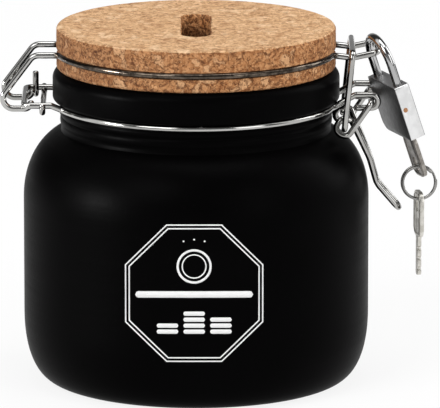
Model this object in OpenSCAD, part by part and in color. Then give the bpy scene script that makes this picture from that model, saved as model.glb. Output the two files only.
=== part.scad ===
// Money box: a clip-top jar with a slotted cork lid, a wire bail closure and a small padlock.
// +Z is up, the origin is the centre of the jar's base, the hinge is at -X and the clasp at +X.

/* [Jar] */
// Outer diameter of the jar's body
jar_d = 100; // [92:1:116]
// Height of the jar, from the base to the top of the rim
jar_h = 91.6; // [86:0.1:105]
// Thickness of the jar's wall
wall_t = 4; // [3:0.1:5]
// Thickness of the jar's floor
floor_t = 6; // [4:0.1:9]
// Height of the rounded corner at the base
base_rise = 20.7; // [14:0.1:26]
// How far the rounded corner runs in under the body
base_in = 9.9; // [7:0.1:14]
// Squareness of the base corner, where 2 is an ellipse
base_exp = 2.28; // [2:0.01:2.6]
// Outer diameter of the neck under the collar
neck_d = 78.4; // [74:0.1:80]
// Height of the straight neck between shoulder and collar
neck_h = 8.8; // [6:0.1:12]
// Height of the whole shoulder curve
shoulder_rise = 21.1; // [16:0.1:26]
// How far the shoulder curve would run on inside the neck
shoulder_over = 5.5; // [3:0.1:8]
// Squareness of the shoulder, where 2 is an ellipse
shoulder_exp = 2.1; // [1.8:0.01:2.5]
// Outer diameter of the collar round the mouth
collar_d = 83; // [82:0.1:86]
// Height of the collar
collar_h = 9.3; // [8:0.1:12]
// Rounding of the collar's upper edge
collar_round = 3; // [1:0.1:3.5]
// Rounding of the collar's lower edge
collar_under = 1.2; // [0.5:0.1:1.6]

/* [Cork lid] */
// Diameter of the cork lid
cork_d = 80.7; // [78:0.1:84]
// Thickness of the lid above the rim
cork_t = 12.2; // [10:0.1:16]
// Rounding of the lid's edges
cork_round = 1; // [0.5:0.1:2]
// Width of the coin slot
slot_w = 9; // [6:0.1:12]
// Length of the coin slot
slot_l = 35; // [28:0.1:42]
// Height of the stopper that enters the mouth
stopper_h = 6; // [4:0.1:7]
// How much the stopper narrows towards its lower end, on the radius
stopper_taper = 2.8; // [2.4:0.1:4]
// Height of the lid wire above the rim
lid_wire_up = 4.9; // [3.5:0.1:7]
// How far the lid wire lies sunk into the cork, measured at its centre
lid_wire_sunk = 0.2; // [0:0.05:0.6]

/* [Wire closure] */
// Diameter of the closure's wire
wire_d = 1.8; // [1.5:0.05:2.1]
// Inner radius of the sharper bends, measured at the wire's centre
bend_r = 2; // [1.6:0.1:2.6]
// How far the hinge bar stands out from the neck ring
hinge_out = 9.3; // [8:0.1:12]
// Half the width of the hinge ear
hinge_half = 13.6; // [12.6:0.1:16]
// Height of the hinge bar above the neck ring
hinge_rise = 1.5; // [0.5:0.1:3]
// Half the distance between the lid wire's two legs
leg_half = 8.4; // [7:0.1:9.4]
// How far the lid wire's legs run out before they turn down
leg_out = 6.5; // [5:0.1:8]
// How far the legs' curls stand out past the hinge bar
curl_out = 9.15; // [8:0.05:11]
// Radius of the curls at the foot of the legs
curl_r = 3; // [2.4:0.1:3.4]
// Half the width of the lid wire's nose loop
nose_half = 8.5; // [7.5:0.1:9]
// How far the nose loop stands out from the cork
nose_out = 12.05; // [10.5:0.05:13]
// Least distance of the nose loop's tip past the body's side, which keeps the keys off the handle
nose_past = 2.4; // [1.9:0.05:4]
// Height of the nose loop's tip above the lid wire
nose_rise = 0.9; // [0.4:0.1:2]
// How far out the nose loop dips under the clamp link
dip_out = 4.65; // [4:0.05:5.5]
// Depth of that dip below the lid wire
dip_drop = 0.7; // [0.2:0.1:1.2]
// Half the distance between the ring's two pivot eyes
ear_half = 8.5; // [7.5:0.1:9.5]
// How far the pivot eyes stand out from the neck ring
ear_out = 10.3; // [9:0.1:12]
// Height of the pivot eyes above the neck ring
ear_rise = 1.7; // [1:0.1:3]
// Length of the free strand under each pivot eye
ear_tail = 4.6; // [3:0.1:6]

/* [Clamp lever] */
// How far the link's eyes lie in from the lever's pivot
link_eye_in = 7.8; // [7:0.1:9]
// How far the link's eyes lie below the lever's pivot
link_eye_down = 7.5; // [6.5:0.1:9]
// Room inside each link eye beyond the wire, on the radius
link_eye_room = 0.4; // [0.2:0.05:0.8]
// Half the width of the narrow handle
handle_half = 2.25; // [2.1:0.05:3]
// How far the handle's upper bend stands off the body's side
handle_in = 0.2; // [0:0.1:1.5]
// How far the handle's lower bend stands off the body's side
handle_off = 2.3; // [2:0.1:4]
// How far the handle's tip stands off the body's side
handle_out = 8.7; // [8:0.1:9]
// Height of the handle's upper bend below the pivot
handle_mid_down = 17.9; // [16:0.1:20]
// Height of the handle's lower bend below the pivot
handle_low_down = 25.4; // [24:0.1:28]
// Height of the handle's tip below the pivot
handle_tip_down = 32.9; // [31:0.1:36]

/* [Hinge fittings] */
// Distance of the tie clip from the neck ring
tie_out = 4; // [3:0.1:5]
// Distance of the upright stop hook from the neck ring
stop_out = 6.4; // [5.8:0.1:7]
// Height of the stop hook's tail above the hinge bar
stop_up = 5.2; // [3:0.1:8]

/* [Padlock] */
// Lean of the padlock, outwards at its foot
padlock_lean = 19; // [12:0.5:24]
// Turn of the padlock about the upright
padlock_yaw = 20.5; // [19:0.1:26]
// Place of the shackle along the nose loop's tip
padlock_y = -4.3; // [-5:0.1:0]
// Width of the case
case_w = 20.8; // [20:0.1:24]
// Height of the case
case_h = 16.6; // [15.5:0.1:19]
// Thickness of the case
case_t = 4.5; // [4.4:0.1:7]
// Rounding of the case's lower corner beside the long leg
case_round = 3.2; // [1.5:0.1:4]
// Rounding of the case's other corners
case_corner = 0.6; // [0.4:0.1:1.2]
// Diameter of the shackle
shackle_d = 2.5; // [2.2:0.05:2.8]
// Distance of the shackle's legs from the case's ends
leg_in = 2.9; // [2.4:0.1:3.1]
// Height of the shackle's arch above the nose loop's tip, centre to centre
arch_top = 3.7; // [3.5:0.05:4.5]
// Length of straight leg that shows above the case
leg_show = 5.8; // [4:0.05:7]
// Depth of the short leg inside the case
toe_depth = 4.2; // [3.9:0.1:4.5]
// Depth of the long leg inside the case
heel_depth = 11; // [9:0.1:11.5]
// Length of the spring under the long leg
heel_spring_l = 2.6; // [2:0.1:3]
// Depth of the latch's axis below the case's top
latch_down = 2.7; // [2.6:0.05:2.8]
// Diameter of the latch
latch_d = 2; // [1.8:0.05:2.2]
// Distance that the latch is thrown by a quarter turn of the core
latch_throw = 1.13; // [1:0.01:1.2]
// Length of the latch's spring
latch_spring_l = 2.2; // [1.8:0.1:2.6]
// Diameter of the lock core
core_d = 3.4; // [3.3:0.05:3.6]
// Place of the lock core across the case
core_y = -2.4; // [-2.6:0.1:-2.2]
// Diameter of the cross pin that holds the core
pin_d = 1.4; // [1.2:0.05:1.6]
// Depth of the cross pin below the case's top
pin_down = 7.2; // [6.8:0.1:7.6]
// Distance of the cross pin from the case's middle, towards the jar
pin_off = 1; // [0.8:0.05:1.1]
// Depth of the groove in the core for the cross pin
pin_groove = 0.4; // [0.35:0.05:0.45]
// Thickness of a wafer
wafer_t = 0.5; // [0.4:0.05:0.6]
// Distance from wafer to wafer
wafer_step = 1.5; // [1.3:0.1:1.6]

/* [Keys and ring] */
// Thickness of a key
key_t = 1.2; // [1:0.05:1.3]
// Width of a key's bow
bow_w = 8.6; // [8:0.1:11]
// Length of a key's bow
bow_l = 13.4; // [11:0.1:15]
// Rounding of the bow's corners
bow_round = 2.8; // [2:0.1:3.8]
// Width of a key's blade
blade_w = 2.4; // [2.2:0.05:2.5]
// Length of a key's blade
blade_l = 11.4; // [10.4:0.1:11.6]
// Width of the hole in a bow
bow_hole_w = 3; // [2.4:0.1:3.6]
// Length of the hole in a bow
bow_hole_l = 4.6; // [3.8:0.1:6]
// Width of the rim between the hole and the bow's end
bow_rim = 1.5; // [1.2:0.1:2]
// Outer diameter of the key ring
ring_d = 10.5; // [9:0.1:14]
// Thickness of the key ring's two turns together
ring_t = 1.2; // [1:0.05:1.4]
// Turn of the hanging key about the upright
spare_yaw = 11; // [0:0.5:20]

/* [Fits] */
// Gap of a running fit, on the radius
run_gap = 0.1; // [0.05:0.01:0.1]
// Gap between a wire and the piece that it lies against
seat_gap = 0.1; // [0.05:0.01:0.2]
// Gap between pieces that swing past each other
swing_gap = 0.3; // [0.25:0.05:0.5]
// Gap between the stopper and the jar's mouth
stopper_gap = 0.6; // [0.5:0.1:0.9]

/* [Hidden] */
$fn = 64;

curve_steps = 20;
joint_scale = 1.03;
joint_min = 0.01;
wire_sides = 14;
leave_y = 1.6 * bend_r;
jar_r = jar_d / 2;
neck_r = neck_d / 2;
collar_r = collar_d / 2;
cork_r = cork_d / 2;
wire_r = wire_d / 2;
mouth_r = neck_r - wall_t;
collar_z = jar_h - collar_h;
shoulder_in = jar_r - neck_r + shoulder_over;
shoulder_end = acos(pow(shoulder_over / shoulder_in, shoulder_exp / 2));
shoulder_top = shoulder_rise * pow(sin(shoulder_end), 2 / shoulder_exp);
shoulder_z = collar_z - neck_h - shoulder_top;

// Wires: the neck ring, the lid wire and the lever's pivot
ring_r = neck_r + wire_r + seat_gap;
ring_z = collar_z - wire_r - seat_gap;
lid_ring_r = cork_r - lid_wire_sunk;
lid_wire_z = jar_h + lid_wire_up;
eye_r = wire_d + run_gap;
hinge_x = -ring_r - hinge_out;
hinge_z = ring_z + hinge_rise;
pivot_x = ring_r + ear_out;
pivot_z = ring_z + ear_rise;
nose_x = max(cork_r + nose_out, jar_r + nose_past);
nose_z = lid_wire_z + nose_rise;
dip_x = cork_r + dip_out;
dip_z = lid_wire_z - dip_drop;
link_z = dip_z + wire_d + swing_gap;
lever_half = ear_half + wire_d + swing_gap + seat_gap;
link_eye_x = pivot_x - link_eye_in;
link_eye_z = pivot_z - link_eye_down;
link_eye_r = wire_d + link_eye_room;
foot_r = wire_r + seat_gap;
foot_y = lever_half + wire_r + swing_gap;
link_half = foot_y + foot_r;

// Padlock, in its own frame: X through its thickness, Y across, Z up, origin on the nose loop's tip
shackle_r = shackle_d / 2;
arch_r = case_w / 2 - leg_in;
arch_z = arch_top - arch_r;
case_top = arch_z - leg_show;
case_foot = case_top - case_h;
toe_y = -arch_r;
heel_y = arch_r;
leg_bore_r = shackle_r + run_gap;
toe_foot = case_top - toe_depth;
heel_foot = case_top - heel_depth;
latch_z = case_top - latch_down;
latch_r = latch_d / 2;
latch_tip = toe_y + shackle_r + swing_gap + run_gap / 2;
latch_end = core_y + core_d / 2 + run_gap;
notch_y = latch_tip - latch_throw - swing_gap / 2;
core_r = core_d / 2;
core_top = latch_z - latch_r - run_gap;
core_foot = case_foot + seat_gap;
cam_e = latch_throw / sqrt(2);
cam_r = 0.45;
cam_h = latch_r;
pin_z = case_top - pin_down;
keyway_h = blade_l - (core_foot - case_foot) + swing_gap;
blade_top = case_foot + blade_l;
wafer_z = pin_z - pin_d / 2 - wafer_step;
wafer_count = 3;
wafer_half = key_t / 2 + wafer_t;

// Keys and ring: the ring hangs in the lock key's bow, the spare key hangs in the ring
bow_foot = case_foot - seat_gap - bow_l;
hole_foot = bow_foot + bow_rim;
ring_r_mid = (ring_d - ring_t) / 2;
hang_local = [0, core_y, hole_foot + ring_t / 2 + 2 * swing_gap];
lean_x = hang_local.x * cos(padlock_lean) - hang_local.z * sin(padlock_lean);
lean_z = hang_local.x * sin(padlock_lean) + hang_local.z * cos(padlock_lean);
hang = [nose_x + lean_x * cos(padlock_yaw) - hang_local.y * sin(padlock_yaw),
    padlock_y + lean_x * sin(padlock_yaw) + hang_local.y * cos(padlock_yaw),
    nose_z + lean_z];
ring_at = hang - [0, 0, ring_r_mid];
spare_at = ring_at - [0, 0, ring_r_mid];

// Points on a quarter of a squared-off ellipse, from its side (0) towards its top (90)
function quarter(r, z, dr, dz, n, upto = 90) = [for (i = [0:curve_steps])
    let (a = upto * i / curve_steps)
    [r + dr * pow(cos(a), 2 / n), z + dz * pow(sin(a), 2 / n)]];
function backwards(list) = [for (i = [len(list) - 1:-1:0]) list[i]];
function mirrored(list) = [for (i = [len(list) - 1:-1:0]) [list[i].x, -list[i].y, list[i].z]];
function both(list) = concat(list, mirrored(list));
function palindrome(list) = concat(list, backwards(list));
function unit(v) = v / norm(v);
function along(p, i) = unit(p[i + 1] - p[i]);
function turn(p, i) = acos(min(1, max(-1, along(p, i - 1) * along(p, i))));
function setback(p, r, i) = i == 0 || i == len(p) - 1 ? 0 : r[i] * tan(turn(p, i) / 2);
function straight(p, r, i) = norm(p[i + 1] - p[i]) - setback(p, r, i) - setback(p, r, i + 1);

// Where a strand leaves a ring sideways, and the ring's own bends from its left strand to its right one
function leave_angle(r, half) = asin((half + leave_y) / r);
function leave_x(r, half) = r * cos(leave_angle(r, half)) + leave_y * tan(leave_angle(r, half));
arc_count = 1;
function front_arc(r, left_half, right_half, z) =
    let (from = leave_angle(r, left_half) - 180)
    let (step = (-leave_angle(r, right_half) - from) / arc_count)
    [for (i = [0:arc_count - 1]) let (a = from + (i + 0.5) * step)
        [r / cos(step / 2) * cos(a), r / cos(step / 2) * sin(a), z]];

// A straight piece of wire between two points
module run(a, b, d) {
    v = b - a;
    if (norm(v) > joint_min)
        translate(a)
            rotate([0, acos(v.z / norm(v)), atan2(v.y, v.x)])
                cylinder(d = d, h = norm(v));
}

// A bend of radius r at the corner q, on the way from p to s
module bend(p, q, s, r, d) {
    u = unit(q - p);
    w = unit(s - q);
    angle = acos(min(1, max(-1, u * w)));
    if (angle > 0.05) {
        n = unit(w - u * (u * w));
        c = q - u * r * tan(angle / 2) + n * r;
        z = cross(-n, u);
        multmatrix([[-n.x, u.x, z.x, c.x], [-n.y, u.y, z.y, c.y], [-n.z, u.z, z.z, c.z], [0, 0, 0, 1]])
            rotate_extrude(angle = angle)
                translate([r, 0])
                    circle(d = d);
    }
}

// A bent wire along the corners p, with a bend radius for each corner
module wire(p, r, d) {
    for (i = [1:len(p) - 2])
        translate(p[i] + along(p, i) * setback(p, r, i))
            sphere(d = d * joint_scale);
    for (i = [0:len(p) - 3])
        if (straight(p, r, i) > joint_min)
            translate(p[i + 1] - along(p, i) * setback(p, r, i + 1))
                sphere(d = d * joint_scale);
    for (i = [0:len(p) - 2])
        run(p[i] + along(p, i) * setback(p, r, i), p[i + 1] - along(p, i) * setback(p, r, i + 1), d);
    for (i = [1:len(p) - 2])
        bend(p[i - 1], p[i], p[i + 1], r[i], d);
}

// The corners p rounded to their bends, as points along the wire's centre
bend_step = 15;
ring_step = 6;
function arc_points(p, r, i) =
    let (u = along(p, i - 1))
    let (w = along(p, i))
    let (angle = turn(p, i))
    let (n = unit(w - u * (u * w)))
    let (c = p[i] - u * r[i] * tan(angle / 2) + n * r[i])
    let (count = ceil(angle / (r[i] > 10 * wire_d ? ring_step : bend_step)))
    [for (k = [0:count]) c - n * r[i] * cos(angle * k / count) + u * r[i] * sin(angle * k / count)];
function spaced(list) = [for (i = [0:len(list) - 1])
    if (i == 0 || norm(list[i] - list[i - 1]) > joint_min) list[i]];
function rounded_path(p, r) = spaced(concat([p[0]],
    [for (i = [1:len(p) - 2]) for (point = arc_points(p, r, i)) point], [p[len(p) - 1]]));
function tangent(p, i) = unit(p[min(i + 1, len(p) - 1)] - p[max(i - 1, 0)]);
function square_to(v, t) = unit(v - t * (v * t));

// A round rod along a line of close points, such as a long bent wire or a coil
module rod(p, d, sides) {
    last = len(p) - 1;
    start = abs(tangent(p, 0).z) < 0.9 ? [0, 0, 1] : [1, 0, 0];
    sideways = [for (i = 0, n = square_to(start, tangent(p, 0)); i <= last;
        n = square_to(n, tangent(p, min(i + 1, last))), i = i + 1) n];
    points = [for (i = [0:last]) for (k = [0:sides - 1])
        let (a = 360 * k / sides)
        p[i] + d / 2 * (sideways[i] * cos(a) + cross(sideways[i], tangent(p, i)) * sin(a))];
    walls = [for (i = [0:last - 1]) for (k = [0:sides - 1])
        let (j = (k + 1) % sides)
        for (face = [[i * sides + k, (i + 1) * sides + k, (i + 1) * sides + j],
            [i * sides + k, (i + 1) * sides + j, i * sides + j]]) face];
    ends = [for (k = [1:sides - 2]) for (face = [[0, k, k + 1],
        [last * sides, last * sides + k + 1, last * sides + k]]) face];
    polyhedron(points, concat(walls, ends), convexity = 10);
}

// A compression spring of round wire, standing on the origin
module coil(d, wire_t, length, turns) {
    per_turn = 12;
    mid_r = (d - wire_t) / 2;
    pitch = (length - wire_t) / turns;
    rod([for (i = [0:turns * per_turn]) let (a = 360 * i / per_turn)
        [mid_r * cos(a), mid_r * sin(a), wire_t / 2 + pitch * i / per_turn]], wire_t, 6);
}

module at_padlock()
    translate([nose_x, padlock_y, nose_z])
        rotate([0, 0, padlock_yaw])
            rotate([0, -padlock_lean, 0])
                children();

// A flat outline drawn across (x) and up (y), made t thick about the padlock's middle plane
module plate(t)
    rotate([90, 0, 90])
        linear_extrude(t, center = true)
            children();

// A rectangle that stands on the origin, with one lower right corner rounded on its own
module rounded(w, h, low_r, r) {
    corners = [[w / 2 - low_r, low_r, low_r, -90], [w / 2 - r, h - r, r, 0],
        [r - w / 2, h - r, r, 90], [r - w / 2, r, r, 180]];
    polygon([for (c = corners) for (i = [0:curve_steps / 2])
        let (a = c[3] + 180 * i / curve_steps)
        [c.x + c[2] * cos(a), c.y + c[2] * sin(a)]]);
}

module jar_body() {
    base = quarter(jar_r - base_in, base_rise, base_in, -base_rise, base_exp);
    shoulder = quarter(jar_r - shoulder_in, shoulder_z, shoulder_in, shoulder_rise, shoulder_exp, shoulder_end);
    under = [for (i = [0:curve_steps / 2]) let (a = -90 + 180 * i / curve_steps)
        [collar_r - collar_under + collar_under * cos(a), collar_z + collar_under + collar_under * sin(a)]];
    rim = [for (i = [0:curve_steps / 2]) let (a = 180 * i / curve_steps)
        [collar_r - collar_round + collar_round * cos(a), jar_h - collar_round + collar_round * sin(a)]];
    inner_rise = base_rise - floor_t;
    hollow_base = quarter(jar_r - wall_t - base_in, base_rise, base_in, -inner_rise, base_exp);
    hollow_shoulder = [for (p = shoulder) p - [wall_t, 0]];
    outside = concat([[0, 0]], backwards(base), shoulder, [[neck_r, collar_z]], under, rim);
    inside = concat([[mouth_r, jar_h]], backwards(hollow_shoulder), hollow_base, [[0, floor_t]]);
    color("#1c1b1c")
        rotate_extrude($fn = 128)
            polygon(concat(outside, inside));
}

module neck_ring() {
    front = concat([
        [pivot_x - ear_tail, -ear_half, pivot_z - eye_r],
        [pivot_x + eye_r, -ear_half, pivot_z - eye_r],
        [pivot_x + eye_r, -ear_half, pivot_z + eye_r],
        [pivot_x - ear_tail, -ear_half, pivot_z + eye_r],
        [leave_x(ring_r, ear_half), -ear_half, ring_z]],
        backwards(front_arc(ring_r, hinge_half, ear_half, ring_z)), [
        [-leave_x(ring_r, hinge_half), -hinge_half, ring_z],
        [-ring_r - hinge_rise, -hinge_half, hinge_z],
        [hinge_x, -hinge_half, hinge_z]]);
    bends = concat([0, eye_r, eye_r, bend_r, bend_r],
        [for (i = [1:arc_count]) ring_r], [bend_r, bend_r, bend_r]);
    color("#b9bbbd")
        rod(rounded_path(both(front), palindrome(bends)), wire_d, wire_sides);
}

module tie_clip() {
    x = -ring_r - tie_out;
    out = hinge_half + wire_d + seat_gap;
    clip_z = hinge_z - wire_d - seat_gap;
    front = [[x, -out, hinge_z], [x, -out, clip_z]];
    color("#b9bbbd")
        wire(both(front), palindrome([0, eye_r]), wire_d);
}

module stop_hook() {
    x = -ring_r - stop_out;
    reach = wire_d + seat_gap;
    corners = [[x, hinge_half - reach, hinge_z + stop_up], [x, hinge_half - reach, hinge_z - reach],
        [x, hinge_half + reach, hinge_z - reach], [x, hinge_half + reach, hinge_z + wire_r]];
    color("#b9bbbd")
        wire(corners, [0, reach, reach, 0], wire_d);
}

module coin_slot(z, h)
    translate([0, 0, z])
        linear_extrude(h) {
            square([slot_w, slot_l - slot_w], center = true);
            for (side = [-1, 1])
                translate([0, side * (slot_l - slot_w) / 2])
                    circle(d = slot_w);
        }

module cork_lid() {
    edges = [[cork_r - cork_round, jar_h + cork_round, -90],
        [cork_r - cork_round, jar_h + cork_t - cork_round, 0]];
    round_edge = [for (e = edges) for (i = [0:curve_steps / 4])
        let (a = e[2] + 360 * i / curve_steps)
        [e.x + cork_round * cos(a), e.y + cork_round * sin(a)]];
    color("#c99c68")
        difference() {
            rotate_extrude($fn = 128)
                polygon(concat([[0, jar_h]], round_edge, [[0, jar_h + cork_t]]));
            coin_slot(jar_h - 1, cork_t + 2);
            translate([0, 0, lid_wire_z])
                rotate_extrude($fn = 128)
                    translate([lid_ring_r, 0])
                        circle(r = wire_r + seat_gap);
        }
}

module cork_stopper() {
    top_r = mouth_r - stopper_gap;
    color("#b98a58")
        difference() {
            translate([0, 0, jar_h - stopper_h])
                cylinder(r1 = top_r - stopper_taper, r2 = top_r, h = stopper_h, $fn = 128);
            coin_slot(jar_h - stopper_h - 1, stopper_h + 2);
        }
}

module lid_wire() {
    front = concat([
        [hinge_x + eye_r, -leg_half, hinge_z + wire_r / 2],
        [hinge_x + eye_r, -leg_half, hinge_z - eye_r],
        [hinge_x - curl_out, -leg_half, hinge_z - eye_r],
        [-cork_r - leg_out, -leg_half, lid_wire_z],
        [-leave_x(lid_ring_r, leg_half), -leg_half, lid_wire_z]],
        front_arc(lid_ring_r, leg_half, nose_half, lid_wire_z), [
        [leave_x(lid_ring_r, nose_half), -nose_half, lid_wire_z],
        [dip_x, -nose_half, dip_z],
        [nose_x, -nose_half, nose_z]]);
    bends = concat([0, eye_r, curl_r, curl_r, bend_r],
        [for (i = [1:arc_count]) lid_ring_r], [bend_r, curl_r, bend_r]);
    color("#c4c6c8")
        rod(rounded_path(both(front), palindrome(bends)), wire_d, wire_sides);
}

module clamp_link() {
    front = [[link_eye_x, -foot_y, link_eye_z], [link_eye_x, -link_half, link_eye_z],
        [dip_x, -link_half, link_z]];
    color("#c4c6c8")
        wire(both(front), palindrome([0, foot_r, bend_r]), wire_d);
}

module clamp_lever() {
    reach = [pivot_x - link_eye_x, pivot_z - link_eye_z];
    heading = atan2(-reach.y, -reach.x) + asin(link_eye_r / norm(reach));
    eye_shift = (wire_d + seat_gap) / 3;
    eye_corners = [for (i = [0:2]) let (a = heading + 45 - 90 * i)
        [link_eye_x + link_eye_r * sqrt(2) * cos(a), -lever_half + eye_shift * i,
            link_eye_z + link_eye_r * sqrt(2) * sin(a)]];
    leave = [link_eye_x + link_eye_r * cos(heading - 180), link_eye_z + link_eye_r * sin(heading - 180)];
    front = concat([
        [pivot_x, wire_d - ear_half, pivot_z],
        [pivot_x, -lever_half, pivot_z]],
        eye_corners, [
        [leave.x + wire_r, eye_shift * 3 - lever_half, leave.y],
        [jar_r + handle_in, -handle_half - swing_gap, pivot_z - handle_mid_down],
        [jar_r + handle_off, -handle_half, pivot_z - handle_low_down],
        [jar_r + handle_out, -handle_half, pivot_z - handle_tip_down]]);
    eye_bend = link_eye_r - seat_gap;
    bends = [0, foot_r, eye_bend, eye_bend, eye_bend, wire_r + seat_gap, 3 * bend_r, 3 * bend_r,
        handle_half - seat_gap];
    color("#b9bbbd")
        wire(both(front), palindrome(bends), wire_d);
}

module shackle() {
    notch_h = latch_d + 2 * run_gap;
    lip = swing_gap;
    color("#cdcfd1")
        at_padlock()
            difference() {
                union() {
                    translate([0, 0, arch_z])
                        rotate([90, 0, 90])
                            rotate_extrude(angle = 180)
                                translate([arch_r, 0])
                                    circle(r = shackle_r);
                    translate([0, toe_y, toe_foot])
                        cylinder(r = shackle_r, h = arch_z - toe_foot);
                    translate([0, heel_y, heel_foot])
                        cylinder(r = shackle_r, h = arch_z - heel_foot);
                }
                translate([-shackle_d, notch_y, latch_z - notch_h / 2])
                    cube([2 * shackle_d, shackle_d, notch_h]);
                translate([-shackle_d, toe_y + shackle_r - lip, toe_foot - lip])
                    cube([2 * shackle_d, shackle_d, latch_z - toe_foot]);
            }
}

module padlock_case() {
    pin_l = case_w / 2 + core_y - core_r + pin_groove;
    color("#8d9094")
        at_padlock()
            difference() {
                translate([0, 0, case_foot])
                    plate(case_t)
                        rounded(case_w, case_h, case_round, case_corner);
                translate([0, toe_y, toe_foot - swing_gap])
                    cylinder(r = leg_bore_r, h = toe_depth + 1);
                translate([0, heel_y, heel_foot - heel_spring_l])
                    cylinder(r = leg_bore_r, h = heel_depth + heel_spring_l + 1);
                translate([0, core_y, case_foot - 1])
                    cylinder(r = core_r + run_gap, h = latch_z + run_gap - case_foot + 1);
                translate([0, toe_y, latch_z])
                    rotate([-90, 0, 0])
                        cylinder(r = latch_r + run_gap, h = latch_end + latch_spring_l - toe_y);
                translate([-pin_off, -case_w / 2 - 1, pin_z])
                    rotate([-90, 0, 0])
                        cylinder(d = pin_d, h = pin_l + 1);
            }
}

module heel_spring()
    color("#9a9c9e")
        at_padlock()
            translate([0, heel_y, heel_foot - heel_spring_l])
                coil(shackle_d, 0.35, heel_spring_l - seat_gap, 3);

module latch_spring()
    color("#9a9c9e")
        at_padlock()
            translate([0, latch_end + latch_spring_l, latch_z])
                rotate([90, 0, 0])
                    coil(latch_d - 0.2, 0.3, latch_spring_l - seat_gap, 3);

module core_pin() {
    pin_l = case_w / 2 + core_y - core_r + pin_groove - run_gap;
    color("#b5703c")
        at_padlock()
            translate([-pin_off, -case_w / 2, pin_z])
                rotate([-90, 0, 0])
                    cylinder(d = pin_d, h = pin_l);
}

module latch() {
    slot_y = core_y + cam_e * cos(45);
    slot = 2 * (cam_r + run_gap);
    color("#a4a6a8")
        at_padlock()
            difference() {
                translate([0, latch_tip, latch_z])
                    rotate([-90, 0, 0])
                        cylinder(r = latch_r, h = latch_end - latch_tip);
                translate([-latch_d, slot_y - slot / 2, latch_z - latch_d])
                    cube([2 * latch_d, slot, latch_d + run_gap]);
            }
}

module lock_core() {
    color("#b79a5b")
        at_padlock()
            translate([0, core_y, 0])
                difference() {
                    union() {
                        translate([0, 0, core_foot])
                            cylinder(r = core_r, h = core_top - core_foot - run_gap);
                        translate([cam_e * sin(45), cam_e * cos(45), core_top - run_gap])
                            cylinder(r = cam_r, h = cam_h);
                    }
                    translate([-key_t / 2 - run_gap, -blade_w / 2 - run_gap, core_foot - 1])
                        cube([key_t + 2 * run_gap, blade_w + 2 * run_gap, keyway_h + 1]);
                    translate([0, 0, pin_z - pin_d / 2 - run_gap])
                        difference() {
                            cylinder(r = core_r + 1, h = pin_d + 2 * run_gap);
                            translate([0, 0, -1])
                                cylinder(r = core_r - pin_groove, h = pin_d + 2);
                        }
                    for (i = [0:wafer_count - 1])
                        translate([-wafer_half - run_gap, -core_r - 1, wafer_z - i * wafer_step - run_gap])
                            cube([2 * (wafer_half + run_gap), 2 * core_r + 2, wafer_t + 2 * run_gap]);
                }
}

module core_wafers()
    color("#c9ad6a")
        at_padlock()
            for (i = [0:wafer_count - 1])
                translate([0, core_y, wafer_z - i * wafer_step])
                    difference() {
                        intersection() {
                            cylinder(r = core_r - run_gap / 2, h = wafer_t);
                            translate([-wafer_half, -core_r, 0])
                                cube([2 * wafer_half, 2 * core_r, wafer_t]);
                        }
                        translate([-key_t / 2 - run_gap, -blade_w / 2 - run_gap, -1])
                            cube([key_t + 2 * run_gap, blade_w + 2 * run_gap, wafer_t + 2]);
                    }

// A key in its own plane, across (x) and up (y), with the bow's shoulder on the origin
module key_outline() {
    cut = blade_w / 4;
    difference() {
        union() {
            translate([0, -bow_l])
                rounded(bow_w, bow_l, bow_round, bow_round);
            polygon([[-blade_w / 2, -bow_round], [blade_w / 2, -bow_round], [blade_w / 2, blade_l - cut],
                [blade_w / 2 - cut, blade_l], [cut - blade_w / 2, blade_l], [-blade_w / 2, blade_l - cut]]);
        }
        for (i = [0:wafer_count - 1])
            translate([blade_w / 2, blade_l - 2 - i * wafer_step * 2])
                circle(r = cut);
        hull() {
            translate([0, bow_rim + bow_hole_w / 2 - bow_l])
                circle(d = bow_hole_w);
            translate([0, bow_rim + bow_hole_l - bow_hole_w / 2 - bow_l])
                circle(d = bow_hole_w);
        }
    }
}

module lock_key()
    color("#86837e")
        at_padlock()
            translate([0, core_y, case_foot - seat_gap])
                plate(key_t)
                    key_outline();

module key_ring() {
    strand = ring_t / 2;
    color("#b4b4b2")
        translate(ring_at)
            rotate([90, 0, 0])
                rotate_extrude()
                    for (side = [-1, 1])
                        translate([ring_r_mid, side * strand / 2])
                            circle(d = strand + seat_gap);
}

module spare_key()
    color("#a19e99")
        translate(spare_at)
            rotate([0, 0, spare_yaw])
                translate([0, 0, ring_t / 2 + seat_gap + bow_rim - bow_hole_l])
                    rotate([180, 0, 0])
                        translate([0, 0, bow_l - bow_hole_l])
                            plate(key_t)
                                key_outline();

jar_body();
neck_ring();
tie_clip();
stop_hook();
cork_lid();
cork_stopper();
lid_wire();
clamp_link();
clamp_lever();
shackle();
padlock_case();
heel_spring();
latch_spring();
core_pin();
latch();
lock_core();
core_wafers();
lock_key();
key_ring();
spare_key();
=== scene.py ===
from math import sin, cos, tan, asin, acos, atan2, radians, degrees, pi, sqrt, ceil, hypot
import bmesh
import bpy
from mathutils import Matrix, Vector, noise


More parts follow.
